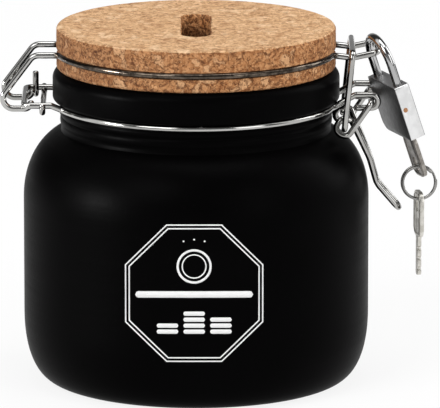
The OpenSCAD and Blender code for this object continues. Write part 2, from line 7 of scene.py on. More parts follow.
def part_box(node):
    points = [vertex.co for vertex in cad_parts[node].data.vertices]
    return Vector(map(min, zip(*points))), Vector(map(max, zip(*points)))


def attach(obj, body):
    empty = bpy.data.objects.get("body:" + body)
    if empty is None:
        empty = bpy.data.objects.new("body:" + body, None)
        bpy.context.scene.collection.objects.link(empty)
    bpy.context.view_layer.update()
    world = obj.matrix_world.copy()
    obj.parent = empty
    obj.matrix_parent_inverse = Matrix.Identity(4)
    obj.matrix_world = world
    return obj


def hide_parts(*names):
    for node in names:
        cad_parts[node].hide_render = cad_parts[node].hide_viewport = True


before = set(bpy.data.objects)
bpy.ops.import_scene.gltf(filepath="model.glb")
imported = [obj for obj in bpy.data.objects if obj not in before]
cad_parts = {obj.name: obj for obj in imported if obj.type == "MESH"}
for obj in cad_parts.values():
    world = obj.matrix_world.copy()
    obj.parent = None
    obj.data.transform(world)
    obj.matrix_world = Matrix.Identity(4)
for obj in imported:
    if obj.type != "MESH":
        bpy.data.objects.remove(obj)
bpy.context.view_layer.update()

mm = 0.001
scene = bpy.context.scene
scene.view_settings.view_transform = "Standard"
print("frame loaded:", len(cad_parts), "nodes")


class Flow:  # a socket that can be used in sums
    def __init__(self, graph, socket):
        self.graph = graph
        self.socket = socket

    def named(self, output):
        return Flow(self.graph, self.socket.node.outputs[output])

    def sum(self, operation, first, second):
        return self.graph.node("ShaderNodeMath", {"operation": operation}, {0: first, 1: second})

    def __add__(self, other):
        return self.sum("ADD", self, other)

    def __radd__(self, other):
        return self.sum("ADD", other, self)

    def __sub__(self, other):
        return self.sum("SUBTRACT", self, other)

    def __rsub__(self, other):
        return self.sum("SUBTRACT", other, self)

    def __mul__(self, other):
        return self.sum("MULTIPLY", self, other)

    def __rmul__(self, other):
        return self.sum("MULTIPLY", other, self)

    def most(self, other):
        return self.sum("MAXIMUM", self, other)

    def between(self, low, high):  # 0 at low, 1 at high, smooth between
        return self.graph.node("ShaderNodeMapRange", {"interpolation_type": "SMOOTHSTEP"},
                               {"Value": self, "From Min": low, "From Max": high})


class Graph:  # makes the nodes of one tree
    def __init__(self, tree):
        self.tree = tree
        tree.nodes.clear()

    def node(self, kind, settings=None, values=None, out=0):
        made = self.tree.nodes.new(kind)
        for name, value in (settings or {}).items():
            if name == "stops":
                ramp = made.color_ramp
                while len(ramp.elements) < len(value):
                    ramp.elements.new(0.5)
                for stop, (place, colour) in zip(ramp.elements, value):
                    stop.position = place
                    stop.color = (*colour, 1)
            else:
                setattr(made, name, value)
        for name, value in (values or {}).items():
            if isinstance(value, Flow):
                self.tree.links.new(value.socket, made.inputs[name])
            else:
                made.inputs[name].default_value = value
        return Flow(self, made.outputs[out]) if made.outputs else None

    def vector(self, operation, first, second=(0, 0, 0), third=(0, 0, 0), out=0):
        return self.node("ShaderNodeVectorMath", {"operation": operation},
                         {0: first, 1: second, 2: third}, out)

    def upright(self, spot):  # the height of a place
        return self.node("ShaderNodeSeparateXYZ", None, {0: spot}, "Z")

    def place(self, scale=None, turn=(0, 0, 0)):  # object coordinates, in metres
        spot = self.node("ShaderNodeTexCoord", out="Object")
        if scale:
            spot = self.node("ShaderNodeMapping", {"vector_type": "POINT"},
                             {"Vector": spot, "Rotation": turn, "Scale": scale})
        return spot

    def cloud(self, spot, scale, detail, rough, warp=0.0):
        return self.node("ShaderNodeTexNoise", None, {"Vector": spot, "Scale": scale, "Detail": detail,
                                                      "Roughness": rough, "Distortion": warp})

    def cells(self, spot, scale, feature="F1", out="Distance"):
        return self.node("ShaderNodeTexVoronoi", {"feature": feature}, {"Vector": spot, "Scale": scale}, out)

    def blend(self, share, first, second, mode="MIX"):  # mixes two colours, which are sockets 6 and 7
        first = first if isinstance(first, Flow) else (*first, 1)
        second = second if isinstance(second, Flow) else (*second, 1)
        return self.node("ShaderNodeMix", {"data_type": "RGBA", "blend_type": mode},
                         {0: share, 6: first, 7: second}, 2)

    def surface(self, values, height, strength, depth):
        bump = self.node("ShaderNodeBump", None, {"Height": height, "Strength": strength, "Distance": depth})
        shader = self.node("ShaderNodeBsdfPrincipled", None, {**values, "Normal": bump})
        self.node("ShaderNodeOutputMaterial", None, {"Surface": shader})


def newFinish(name):
    material = bpy.data.materials.new(name)
    material.use_nodes = True
    return material, Graph(material.node_tree)


# camera: long lens, at the photograph's height and aim
view = {"target": (0, 0, 60), "elevation": 11.96, "distance": 2200, "lens": 621, "sensor": 36, "right": 6.9,
        "down": 8.855, "near": 0.1, "far": 30}  # near and far in metres


def makeCamera():
    lens = bpy.data.cameras.new("camera")
    lens.sensor_fit = "HORIZONTAL"
    lens.sensor_width = view["sensor"]
    lens.lens = view["lens"]
    lens.clip_start, lens.clip_end = view["near"], view["far"]
    camera = bpy.data.objects.new("camera", lens)
    scene.collection.objects.link(camera)
    rise = radians(view["elevation"])
    back = Vector((0, -cos(rise), sin(rise)))
    up = Vector((0, sin(rise), cos(rise)))
    target = Vector(view["target"])
    camera.location = (target + back * view["distance"]) * mm
    aim = (target + Vector((view["right"], 0, 0)) - up * view["down"]) * mm
    camera.rotation_euler = (aim - camera.location).to_track_quat("-Z", "Y").to_euler()
    scene.camera = camera


makeCamera()
print("camera set")


# the padlock hangs from the lid wire's nose, leaning and a little turned
hang = {"spot": (52.4, -4.3, 97.4), "lean": radians(19), "yaw": radians(20.5)}


def hangAxes():
    lean, yaw = hang["lean"], hang["yaw"]
    return Matrix(((cos(lean) * cos(yaw), -sin(yaw), -sin(lean) * cos(yaw)),
                   (cos(lean) * sin(yaw), cos(yaw), -sin(lean) * sin(yaw)),
                   (sin(lean), 0, cos(lean))))


hangFrame = hangAxes()


# finishes: colours are linear, noise scales are per metre
glazeLook = {"deep": (0.0008, 0.0007, 0.0008), "plain": (0.0016, 0.0015, 0.0016), "speckShare": 0.25,
             "speck": (0.009, 0.009, 0.0094), "turning": (5, 5, 620), "sheen": 0.014}


def glazeFinish():
    material, g = newFinish("blackMattGlaze")
    spot = g.place()
    broad = g.cloud(spot, 38, detail=3, rough=0.55)
    fine = g.cloud(spot, 900, detail=3, rough=0.6)
    rings = g.cloud(g.place(glazeLook["turning"]), 1, detail=4, rough=0.6)  # faint turning marks
    specks = g.cells(spot, 420).between(0.05, 0.11)
    colour = g.blend(broad, glazeLook["deep"], glazeLook["plain"])
    colour = g.blend((1 - specks) * glazeLook["speckShare"], colour, glazeLook["speck"])
    rough = 0.24 + 0.10 * broad + 0.08 * fine + 0.12 * rings
    g.surface({"Base Color": colour, "Roughness": rough, "Specular IOR Level": glazeLook["sheen"]},
              fine + 0.8 * rings, strength=0.14, depth=0.0002)
    return material


corkLook = {"tones": [(0.00, (0.13, 0.050, 0.018)), (0.24, (0.34, 0.160, 0.066)),
                      (0.50, (0.575, 0.330, 0.162)), (0.74, (0.715, 0.450, 0.245)),
                      (1.00, (0.85, 0.615, 0.390))],
            "grains": 390, "crumbs": 1100, "uneven": (0.0052, 0.0052, 0.0034), "fleck": (0.86, 0.62, 0.39),
            "crack": (0.21, 0.088, 0.034), "pit": (0.11, 0.042, 0.016), "gap": (0.12, 0.046, 0.018),
            "grimeAndPaintedShade": (0.035, 0.014, 0.006), "grimeAndShadeHeights": (0.0965, 0.1015)}  # full grime and painted shade, and none, in metres


def corkFinish(name, toneAndPaintedLight, fleckShare, pitShare, gapShare, gapFrom, grimeAndPaintedShade=0.0):
    material, g = newFinish(name)
    spot = g.place()
    stir = g.vector("SUBTRACT", g.cloud(spot, 330, detail=3, rough=0.6).named("Color"), (0.5, 0.5, 0.5))
    bent = g.vector("MULTIPLY_ADD", stir, corkLook["uneven"], spot)  # gives the grains uneven outlines
    mottle = g.cloud(spot, 360, detail=6, rough=0.74, warp=0.5)
    dust = g.cloud(spot, 1500, detail=4, rough=0.75)
    tints = [g.cells(bent, corkLook[size], out="Color") for size in ("grains", "crumbs")]
    chips, crumbs = (g.node("ShaderNodeSeparateColor", None, {"Color": tint}) for tint in tints)
    tone = mottle * 0.75 + dust * 0.95 + chips * 0.16 + crumbs * 0.42 - 0.62
    colour = g.node("ShaderNodeValToRGB", {"stops": corkLook["tones"]}, {"Fac": tone})
    pale = chips.named("Green").between(0.84, 0.88) * (0.2 + 1.1 * mottle)
    colour = g.blend(pale * fleckShare, colour, corkLook["fleck"])
    seams = g.cells(bent, corkLook["grains"], "DISTANCE_TO_EDGE").between(0.0, 0.09)
    cracks = (1 - seams) * mottle.between(0.42, 0.58)
    colour = g.blend(cracks * pitShare, colour, corkLook["crack"])
    pits = g.cloud(spot, 640, detail=4, rough=0.75, warp=0.4).between(0.58, 0.67)
    colour = g.blend(pits * pitShare, colour, corkLook["pit"])
    gaps = g.cloud(bent, 950, detail=3, rough=0.6).between(gapFrom, gapFrom + 0.10)  # between loose grains
    colour = g.blend(gaps * gapShare, colour, corkLook["gap"])
    if grimeAndPaintedShade:  # grime and painted shade, darker low in the slot
        low = 1 - g.upright(spot).between(*corkLook["grimeAndShadeHeights"])
        colour = g.blend(low * (0.35 + 0.6 * mottle) * grimeAndPaintedShade, colour, corkLook["grimeAndPaintedShade"])
    # multiplies by this face's tone, partly its own colour and partly painted light and shade
    colour = g.blend(1.0, colour, toneAndPaintedLight, "MULTIPLY")
    height = 0.6 * dust + 0.5 * mottle + 0.25 * chips - 0.4 * cracks - 0.7 * pits - 0.5 * gapShare * gaps
    g.surface({"Base Color": colour, "Roughness": 0.78 + 0.14 * dust, "Specular IOR Level": 0.2},
              height, strength=0.6, depth=0.0005)
    return material


def metalFinish(name, light, dark, rough, spread, stretch, bump=0.05, smear=60):
    material, g = newFinish(name)
    lines = g.cloud(g.place(stretch), 1, detail=4, rough=0.65)
    smears = g.cloud(g.place(), smear, detail=3, rough=0.6)
    scuffs = g.cloud(g.place(), 620, detail=4, rough=0.7, warp=0.4).between(0.60, 0.72)
    colour = g.blend(smears.between(0.35, 0.65), light, dark)
    colour = g.blend(scuffs * 0.25, colour, dark)
    rough = rough + spread * lines + spread * 0.8 * smears + 0.06 * scuffs
    g.surface({"Base Color": colour, "Metallic": 1.0, "Roughness": rough}, lines, strength=bump, depth=0.0001)
    return material


# the two dull tones are painted shade of the cork's groove on the wire
wireLook = {"light": (0.50, 0.495, 0.48), "dark": (0.34, 0.335, 0.32), "scuff": (0.30, 0.295, 0.28),
            "paintedShadeTone": (0.150, 0.120, 0.094), "paintedShadeDeepest": (0.030, 0.024, 0.019),
            "paintedShadeReach": (0.0413, 0.0424), "paintedShadeHeight": (0.0940, 0.0946)}  # where the painted groove shade ends, in metres


def wireFinish():  # bright, with painted shade where the cork's groove holds it
    material, g = newFinish("polishedWire")
    spot = g.place()
    reach = g.vector("LENGTH", g.vector("MULTIPLY", spot, (1, 1, 0)), out="Value")
    # painted shade: the wire darkens where it lies in the cork's groove
    paintedGrooveShade = (1 - reach.between(*wireLook["paintedShadeReach"])) * g.upright(spot).between(*wireLook["paintedShadeHeight"])
    smears = g.cloud(spot, 60, detail=3, rough=0.6)
    draw = g.cloud(spot, 500, detail=4, rough=0.65)
    scuffs = g.cloud(spot, 620, detail=4, rough=0.7, warp=0.4).between(0.60, 0.72)
    colour = g.blend(smears.between(0.35, 0.65), wireLook["light"], wireLook["dark"])
    colour = g.blend(scuffs * 0.25, colour, wireLook["scuff"])
    paintedShadeTone = g.blend(draw.between(0.35, 0.65), wireLook["paintedShadeTone"], wireLook["paintedShadeDeepest"])
    colour = g.blend(paintedGrooveShade, colour, paintedShadeTone)
    rough = 0.05 + 0.08 * draw + 0.06 * smears + 0.06 * scuffs + 0.06 * paintedGrooveShade
    g.surface({"Base Color": colour, "Metallic": 1.0, "Roughness": rough}, draw, strength=0.05, depth=0.0001)
    return material


# the brushed and deep tones are the broad faces' painted dark reflection of the jar, with brushing
caseLook = {"light": (0.85, 0.85, 0.85), "dark": (0.73, 0.73, 0.73), "top": (0.40, 0.40, 0.405),
            "brushedAndPaintedReflection": (0.180, 0.180, 0.182), "deep": (0.095, 0.095, 0.097), "scuff": (0.80, 0.80, 0.79),
            "grain": (1500, 1500, 70),
            "paintedReflectionFrom": (0.00205, 0.00222), "topFrom": (-0.00975, -0.00963)}  # metres from the hanging point


def caseFinish():  # light ground ends, a darker top, and broad faces darkened by a painted reflection of the dark jar
    material, g = newFinish("satinCase")
    spot = g.place()

    def along(axis):  # distance from the hanging point along one of the padlock's axes
        way = Vector(hangFrame.col[axis])
        return g.vector("DOT_PRODUCT", spot, way, out="Value") - (Vector(hang["spot"]) * mm).dot(way)

    depth = along(0)
    # broad faces get a painted dark reflection of the jar
    broad = depth.most(depth * -1).between(*caseLook["paintedReflectionFrom"])
    top = along(2).between(*caseLook["topFrom"])
    lines = g.cloud(g.place(caseLook["grain"], (0, hang["lean"], 0)), 1, detail=4, rough=0.65)
    smears = g.cloud(spot, 170, detail=4, rough=0.65)
    scuffs = g.cloud(spot, 900, detail=4, rough=0.7, warp=0.4).between(0.56, 0.68)
    colour = g.blend(smears.between(0.35, 0.65), caseLook["light"], caseLook["dark"])
    colour = g.blend(top, colour, caseLook["top"])
    brushedAndPaintedReflection = 0.6 * lines.between(0.35, 0.65) + 0.4 * smears
    # painted dark reflection on the broad faces, streaked by brushing
    colour = g.blend(broad, colour, g.blend(brushedAndPaintedReflection, caseLook["brushedAndPaintedReflection"], caseLook["deep"]))
    colour = g.blend(scuffs * (0.22 - 0.19 * broad), colour, caseLook["scuff"])
    rough = 0.24 + 0.16 * lines + 0.10 * smears + 0.06 * scuffs
    g.surface({"Base Color": colour, "Metallic": 1.0, "Roughness": rough}, lines + 0.5 * scuffs,
              strength=0.12, depth=0.0001)
    return material


inkLook = {"thin": (0.86, 0.865, 0.86), "thick": (0.95, 0.955, 0.95), "hole": (0.35, 0.35, 0.35),
           "holeShare": 0.35, "sheen": 0.35}


def inkFinish():
    material, g = newFinish("whiteScreenInk")
    spot = g.place()
    film = g.cloud(spot, 500, detail=4, rough=0.65)
    holes = g.cells(spot, 900).between(0.06, 0.12)
    colour = g.blend(film, inkLook["thin"], inkLook["thick"])
    colour = g.blend((1 - holes) * inkLook["holeShare"], colour, inkLook["hole"])
    rough = 0.48 + 0.16 * film
    g.surface({"Base Color": colour, "Roughness": rough, "Specular IOR Level": inkLook["sheen"]},
              film, strength=0.15, depth=0.0001)
    return material


glaze = glazeFinish()
# face lighter, edge darker: partly painted light and shade, partly the cut edge's own browner colour
corkFace = corkFinish("pressedCork", (1.17, 1.19, 1.22), fleckShare=0.5, pitShare=0.28, gapShare=0.18,
                      gapFrom=0.57)
corkEdge = corkFinish("pressedCorkEdge", (0.87, 0.69, 0.56), fleckShare=0.90, pitShare=0.75, gapShare=0.72,
                      gapFrom=0.51)
# the slot's cut walls get grime and painted shade low down
corkCut = corkFinish("pressedCorkCut", (1.18, 0.98, 0.80), fleckShare=0.6, pitShare=0.6, gapShare=0.85,
                     gapFrom=0.47, grimeAndPaintedShade=0.85)
wireSteel = wireFinish()
shackleChrome = metalFinish("shackleChrome", (0.62, 0.62, 0.62), (0.46, 0.46, 0.46), rough=0.04, spread=0.07,
                            stretch=(700, 700, 220))
caseSteel = caseFinish()
ringSteel = metalFinish("ringSteel", (0.42, 0.415, 0.40), (0.26, 0.255, 0.245), rough=0.10, spread=0.12,
                        stretch=(600, 600, 600))
pinCopper = metalFinish("copperPin", (0.70, 0.40, 0.22), (0.42, 0.21, 0.11), rough=0.14, spread=0.14,
                        stretch=(900, 900, 900), smear=900)
coreBrass = metalFinish("coreBrass", (0.66, 0.49, 0.22), (0.50, 0.35, 0.14), rough=0.22, spread=0.14,
                        stretch=(900, 900, 300))
springSteel = metalFinish("springSteel", (0.52, 0.525, 0.53), (0.36, 0.365, 0.37), rough=0.22, spread=0.14,
                          stretch=(600, 600, 600))
keyPlate = metalFinish("wornKeyPlating", (0.74, 0.72, 0.67), (0.56, 0.54, 0.49), rough=0.22, spread=0.18,
                       stretch=(1500, 1500, 150), bump=0.14, smear=420)
# the lock key's plating is darker than the spare's
keyDark = metalFinish("darkerKeyPlating", (0.40, 0.375, 0.345), (0.23, 0.21, 0.19), rough=0.20,
                      spread=0.18, stretch=(1500, 1500, 150), bump=0.14, smear=420)
ink = inkFinish()
print("finishes made")


def link(name, mesh, materials=()):
    piece = bpy.data.objects.new(name, mesh)
    scene.collection.objects.link(piece)
    for material in materials:
        mesh.materials.append(material)
    return piece


def bakedMesh(holder, name):  # the mesh that an object's modifiers make
    baked = bpy.data.meshes.new_from_object(holder.evaluated_get(bpy.context.evaluated_depsgraph_get()))
    baked.name = name
    bpy.data.objects.remove(holder)
    return baked


def closedMesh(name, points, faces, materials, slots=None, sharp=38):  # points in mm
    mesh = bpy.data.meshes.new(name)
    mesh.from_pydata([Vector(p) * mm for p in points], [], faces)
    shape = bmesh.new()
    shape.from_mesh(mesh)
    for face, slot in zip(shape.faces, slots or [0] * len(faces)):
        face.material_index = slot
        face.smooth = True
    bmesh.ops.remove_doubles(shape, verts=shape.verts, dist=1e-7)
    bmesh.ops.recalc_face_normals(shape, faces=shape.faces)
    shape.to_mesh(mesh)
    shape.free()
    mesh.set_sharp_from_angle(angle=radians(sharp))
    return link(name, mesh, materials)


def loopFaces(loops, count, closed=True):  # quads between loops of the same count
    faces = []
    for row in range(loops - 1):
        for i in range(count if closed else count - 1):
            j = (i + 1) % count
            faces.append((row * count + i, row * count + j, (row + 1) * count + j, (row + 1) * count + i))
    return faces


def quarter(steps, first=0):  # angles of a quarter turn
    return [pi / 2 * i / steps for i in range(first, steps + 1)]


def circle(sides):  # directions round a full turn
    return [(cos(2 * pi * i / sides), sin(2 * pi * i / sides)) for i in range(sides)]


# jar: turned from one profile, inside and out
jar = {"radius": 50, "height": 91.6, "baseRise": 20.7, "baseIn": 9.9, "basePower": 2.28,
       "shoulderRise": 21.1, "shoulderOver": 5.5, "shoulderPower": 2.1, "neckRadius": 39.2, "neckHeight": 8.8,
       "collarRadius": 41.5, "collarHeight": 9.3, "collarRound": 3.0, "collarUnder": 1.2, "lipRound": 1.2,
       "mouthRadius": 35.2, "wall": 4.0, "innerHigh": 30, "innerLow": 24, "floor": 6.0, "floorRadius": 30,
       "sides": 144, "steps": 26, "innerSteps": 16, "floorSteps": 14, "bodyRows": (26, 32, 38, 44, 50),
       "foot": [(0, 0.35), (34, 0.35), (36, 0.2), (38.2, 0)],  # shallow hollow underneath
       "neckBeads": [(-0.25, 0.7), (-0.30, 1.5), (0.05, 2.1), (0.16, 3.0), (0.08, 3.8), (-0.16, 4.2),
                     (-0.10, 4.6), (0.32, 5.1), (0.48, 5.7), (0.36, 6.3), (0, 6.9)],  # from the neck's foot
       "collarFillet": [(0, -0.9), (0.3, -0.25)]}  # from the collar's foot
collarZ = jar["height"] - jar["collarHeight"]
shoulderIn = jar["radius"] - jar["neckRadius"] + jar["shoulderOver"]
shoulderEnd = acos((jar["shoulderOver"] / shoulderIn) ** (jar["shoulderPower"] / 2))
shoulderZ = collarZ - jar["neckHeight"] - jar["shoulderRise"] * sin(shoulderEnd) ** (2 / jar["shoulderPower"])


def basePoint(a):
    power = 2 / jar["basePower"]
    return (jar["radius"] - jar["baseIn"] + jar["baseIn"] * cos(a) ** power,
            jar["baseRise"] - jar["baseRise"] * sin(a) ** power)


def shoulderPoint(a):
    power = 2 / jar["shoulderPower"]
    return (jar["radius"] - shoulderIn + shoulderIn * cos(a) ** power,
            shoulderZ + jar["shoulderRise"] * sin(a) ** power)


def jarRadius(z):  # outer radius at a height
    if z < jar["baseRise"]:
        a = asin(((jar["baseRise"] - z) / jar["baseRise"]) ** (jar["basePower"] / 2))
        return basePoint(a)[0]
    if z > shoulderZ:
        a = asin(((z - shoulderZ) / jar["shoulderRise"]) ** (jar["shoulderPower"] / 2))
        return shoulderPoint(a)[0]
    return jar["radius"]


def jarProfile():
    steps, radius, high, wall, floor = jar["steps"], jar["radius"], jar["height"], jar["wall"], jar["floor"]
    p = list(jar["foot"])
    p += [basePoint(pi / 2 * (1 - i / steps)) for i in range(1, steps + 1)]
    p += [(radius, z) for z in jar["bodyRows"]]
    p += [shoulderPoint(shoulderEnd * (i / steps)) for i in range(steps + 1)]
    neckR, neckZ = p[-1]
    p += [(neckR + out, neckZ + up) for out, up in jar["neckBeads"]]
    p += [(neckR + out, collarZ + up) for out, up in jar["collarFillet"]]
    under, top, collar = jar["collarUnder"], jar["collarRound"], jar["collarRadius"]
    p += [(collar - under + under * sin(a), collarZ + under - under * cos(a)) for a in quarter(6)]
    p += [(collar - top + top * cos(a), high - top + top * sin(a)) for a in quarter(9)]
    mouth, lip = jar["mouthRadius"], jar["lipRound"]
    p += [(mouth + lip - lip * sin(a), high - lip + lip * cos(a)) for a in quarter(6)]
    p += [(mouth, collarZ - jar["neckHeight"] + 1)]
    inner = [shoulderPoint(shoulderEnd * (i / jar["innerSteps"])) for i in range(jar["innerSteps"], -1, -1)]
    p += [(r - wall, z - wall / 2) for r, z in inner if r - wall > mouth]
    p += [(radius - wall, jar["innerHigh"]), (radius - wall, jar["innerLow"])]
    inner = [basePoint(a) for a in quarter(jar["floorSteps"], 3)[:-1]]
    p += [(r - wall, z + floor * (1 - z / jar["innerLow"])) for r, z in inner]
    return p + [(jar["floorRadius"], floor), (0, floor)]


def turned(name, profile, sides, materials):  # a shape turned about the jar's axis
    points = [(r * c, r * s, z) for r, z in profile for c, s in circle(sides)]
    return closedMesh(name, points, loopFaces(len(profile), sides), materials)


jarShell = turned("jarShell", jarProfile(), jar["sides"], [glaze])
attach(jarShell, "jar")
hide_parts("jar_body")
print("jar turned")


# cork lid: disc with the coin slot through it, and the tapered plug below
cork = {"radius": 40.35, "low": 91.6, "high": 103.8, "round": 1.0, "grooveZ": 96.5, "grooveRadius": 1.0,
        "slotWide": 9.0, "slotLong": 35.0, "slotRound": 0.5, "sides": 336, "sharp": 50, "flat": 0.02,
        "lump": 0.10, "lumps": 0.75, "grains": 2.1, "tear": 0.45, "tears": 1.3, "pit": 0.30, "pits": 0.24,
        "pitShare": 0.22}  # lump, tear and pit are heights; lumps, grains, tears and pits are counts in a mm
plug = {"low": 85.6, "topRadius": 34.6, "lowRadius": 31.8, "round": 0.8}
faceLook, edgeLook, cutLook = range(3)  # material numbers of the cork


def slotPoint(a, grow=0.0):  # the slot's edge in a direction
    half, end = cork["slotWide"] / 2 + grow, (cork["slotLong"] - cork["slotWide"]) / 2
    c, s = cos(a), sin(a)
    if abs(c) > 1e-9 and abs(half * s / c) <= end:
        r = half / abs(c)
    else:
        k = end * abs(s)
        r = k + sqrt(max(k * k - end * end + half * half, 0))
    return r * c, r * s


def discLoop(radius, share, grow, z):  # share 0 is the slot's edge, 1 the rim
    points = []
    for i in range(cork["sides"]):
        a = 2 * pi * i / cork["sides"]
        x, y = slotPoint(a, grow)
        points.append((x + (radius * cos(a) - x) * share, y + (radius * sin(a) - y) * share, z))
    return points


def slotLoop(z, grow=0.0):
    return discLoop(0, 0, grow, z)


def rimLoop(radius, z):
    return discLoop(radius, 1, 0, z)


def crumble(point):  # small lumps and pits of the pressed grains
    p = Vector(point)
    away = Vector((p.x, p.y, 0))
    lump = cork["lump"] * (noise.noise(p * cork["lumps"]) + 0.6 * noise.noise(p * cork["grains"]))
    inSlot = away.length < cork["slotLong"] / 2 + 1.5 and abs(p.x) < cork["slotWide"] / 2 + 0.6
    if inSlot and p.z < cork["high"] - 0.01:
        away = Vector((-p.x, 0, 0))  # torn grains of the slot's walls stand into the slot
        lump += (0.5 + noise.noise(p * cork["tears"])) * cork["tear"]
    near = noise.voronoi(p * cork["pits"])[0][0]
    lump -= cork["pit"] * max(0, 1 - near / cork["pitShare"])
    if abs(p.z - cork["high"]) < cork["flat"]:
        p.z += lump * 0.7
    elif abs(p.z - cork["low"]) >= cork["flat"]:  # the underside stays flat
        p += away.normalized() * lump * 0.8
    return p


def corkSolid(name, rows, shift=Vector):  # rows are loops, each with the material of the strip before it
    points = [shift(point) for loop, look in rows for point in loop]
    looks = [look for loop, look in rows[1:] for i in range(cork["sides"])]
    faces = loopFaces(len(rows), cork["sides"])
    return closedMesh(name, points, faces, [corkFace, corkEdge, corkCut], looks, cork["sharp"])


def corkDisc():
    rim, low, high, curve = cork["radius"], cork["low"], cork["high"], cork["round"]
    edge, groove, depth = cork["slotRound"], cork["grooveZ"], cork["grooveRadius"]
    rows = [(slotLoop(low + (high - edge - low) * i / 12), cutLook) for i in range(13)]  # slot wall, upwards
    rows += [(slotLoop(high - edge * (1 - sin(a)), edge * (1 - cos(a))), cutLook if a < pi / 3 else faceLook)
             for a in quarter(4, 1)]
    rows += [(discLoop(rim - curve, i / 30, edge, high), faceLook) for i in range(1, 31)]  # out to the rim
    rows += [(rimLoop(rim - curve + curve * sin(a), high - curve * (1 - cos(a))),
              faceLook if a < pi / 3 else edgeLook) for a in quarter(5, 1)]
    drop = groove + depth - high + curve
    rows += [(rimLoop(rim, high - curve + drop * i / 8), edgeLook) for i in range(1, 9)]
    rows += [(rimLoop(rim - depth * sin(a), groove + depth * cos(a)), edgeLook)
             for a in (pi * i / 8 for i in range(1, 8))]
    drop = low + curve - groove + depth
    rows += [(rimLoop(rim, groove - depth + drop * i / 6), edgeLook) for i in range(7)]
    rows += [(rimLoop(rim - curve * (1 - cos(a)), low + curve * (1 - sin(a))), edgeLook)
             for a in quarter(4, 1)]
    rows += [(discLoop(rim - curve, 1 - i / 6, 0, low), faceLook) for i in range(1, 7)]  # in to the slot
    return corkSolid("corkDisc", rows, crumble)


def corkPlug():
    high, low, curve = cork["low"], plug["low"], plug["round"]
    top, foot = plug["topRadius"], plug["lowRadius"]
    rows = [(slotLoop(low + (high - low) * i / 6), cutLook) for i in range(7)]
    rows += [(discLoop(top, i / 4, 0, high), faceLook) for i in range(1, 5)]
    rows += [(rimLoop(top + (foot - top) * k, high + (low + curve - high) * k), edgeLook)
             for k in (i / 8 for i in range(1, 9))]
    rows += [(rimLoop(foot - curve * (1 - cos(a)), low + curve * (1 - sin(a))), edgeLook)
             for a in quarter(4, 1)]
    rows += [(discLoop(foot - curve, 1 - i / 12, 0, low), faceLook) for i in range(1, 13)]
    return corkSolid("corkPlug", rows)


for piece, node in ((corkDisc(), "cork_lid"), (corkPlug(), "cork_stopper")):
    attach(piece, "lid")
    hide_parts(node)
print("cork lid and plug made")


# wires: a path of corners with bends, swept by a node tree
sweep = {"sides": 22, "bendStep": 7, "arcStep": 1.6, "leave": 3.2, "least": 0.004, "straight": 1e-4,
         "wallStep": 0.02, "wallSharp": 45,
         "tip": ((0.0, 0.62), (0.10, 0.80), (0.28, 0.94), (0.5, 1.0))}  # rounded ends: way in and girth


def sweepTree():
    tree = bpy.data.node_groups.new("wireSweep", "GeometryNodeTree")
    sockets = {}
    for name, kind in (("Path", "Geometry"), ("Thickness", "Float"), ("Sides", "Int"), ("Metal", "Material")):
        made = tree.interface.new_socket(name, in_out="INPUT", socket_type="NodeSocket" + kind)
        sockets[name] = made.identifier
    tree.interface.new_socket("Rod", in_out="OUTPUT", socket_type="NodeSocketGeometry")
    g = Graph(tree)
    given = g.node("NodeGroupInput")
    path = g.node("GeometryNodeMeshToCurve", None, {"Mesh": given.named("Path")})
    girth = g.node("GeometryNodeInputNamedAttribute", {"data_type": "FLOAT"}, {"Name": "girth"})
    ring = g.node("GeometryNodeCurvePrimitiveCircle", {"mode": "RADIUS"},
                  {"Resolution": given.named("Sides"), "Radius": given.named("Thickness") * 0.5})
    rod = g.node("GeometryNodeCurveToMesh", None,
                 {"Curve": path, "Profile Curve": ring, "Scale": girth, "Fill Caps": True})
    rod = g.node("GeometryNodeSetShadeSmooth", None, {"Geometry": rod, "Shade Smooth": True})
    rod = g.node("GeometryNodeRealizeInstances", None, {"Geometry": rod})
    rod = g.node("GeometryNodeSetMaterial", None, {"Geometry": rod, "Material": given.named("Metal")})
    g.node("NodeGroupOutput", None, {"Rod": rod})
    return tree, sockets


wireTree, wireInputs = sweepTree()


def bentPath(corners):  # corners are (point, bend radius); a bend of 0 keeps the point
    spots = [Vector(c[0]) for c in corners]
    path = [spots[0]]
    for i in range(1, len(spots) - 1):
        bend, here = corners[i][1], spots[i]
        into, away = (here - spots[i - 1]).normalized(), (spots[i + 1] - here).normalized()
        angle = into.angle(away, 0)
        if bend == 0 or angle < sweep["straight"]:
            path.append(here)
            continue
        side = (away - into * into.dot(away)).normalized()
        centre = here - into * bend * tan(angle / 2) + side * bend
        count = max(2, ceil(degrees(angle) / sweep["bendStep"]))
        path += [centre - side * bend * cos(angle * k / count) + into * bend * sin(angle * k / count)
                 for k in range(count + 1)]
    path.append(spots[-1])
    return [p for i, p in enumerate(path) if i == 0 or (p - path[i - 1]).length > sweep["least"]]


def mirrored(corners):  # the rear half is the front half reversed
    return corners + [((x, -y, z), bend) for (x, y, z), bend in reversed(corners)]


def leaveAngle(radius, half):  # where a strand leaves a ring, to run on at half a width
    return asin((half + sweep["leave"]) / radius)


def leaveX(radius, half):
    a = leaveAngle(radius, half)
    return radius * cos(a) + sweep["leave"] * tan(a)


def frontArc(radius, fromAngle, toAngle, z):  # round the front, angles in radians
    count = ceil(degrees(abs(toAngle - fromAngle)) / sweep["arcStep"])
    return [((radius * cos(a), radius * sin(a), z), 0) for a in
            (fromAngle + (toAngle - fromAngle) * k / count for k in range(count + 1))]


def tipped(path, r):  # points with girths, a rounded cut at each end
    def cut(tip, inner):
        way = (inner - tip).normalized()
        return [(tip + way * r * k, girth) for k, girth in sweep["tip"]]

    return cut(path[0], path[1]) + [(p, 1.0) for p in path[1:-1]] + cut(path[-1], path[-2])[::-1]


